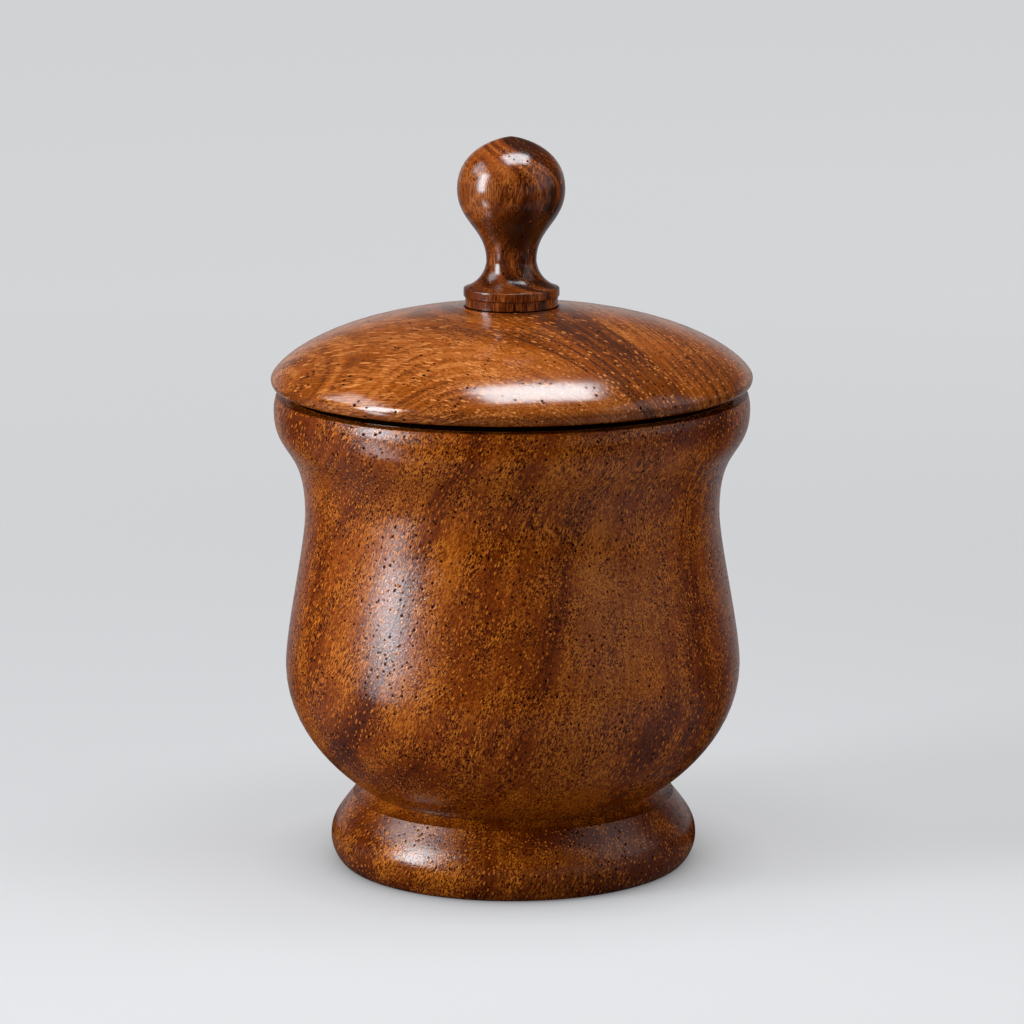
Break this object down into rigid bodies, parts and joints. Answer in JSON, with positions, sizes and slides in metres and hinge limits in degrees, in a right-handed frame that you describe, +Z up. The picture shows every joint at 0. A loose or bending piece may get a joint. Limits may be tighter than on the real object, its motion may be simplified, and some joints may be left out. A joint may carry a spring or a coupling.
{
  "type": "wooden soup tureen",
  "caption": "Turned wooden soup tureen: a round waisted bowl on a low foot, with a domed lift-off lid and a ball finial.",
  "frame": {"origin": "centre of the foot's underside, on the surface that the tureen stands on", "axes": "+Z up along the turning axis; the pieces are round, so X and Y are alike; +X is the right in the picture and -Y its front"},
  "size_m": [0.1704, 0.1704, 0.2603],
  "materials": {
    "foot_wood": "oiled hardwood, satin sheen, open pores",
    "bowl_wood": "oiled hardwood, satin sheen, open pores",
    "lid_wood": "oiled hardwood, satin sheen, long grain",
    "knob_wood": "oiled hardwood, satin sheen, upright grain"
  },
  "bodies": {
    "vessel": {"foot": "foot_wood", "bowl": "bowl_wood"},
    "cover": {"lid": "lid_wood", "knob": "knob_wood"}
  },
  "joints": [
    {"name": "lid_lift", "type": "slide", "parent": "vessel", "child": "cover", "axis": [0, 0, 1], "range_m": [0, 0.15]}
  ]
}
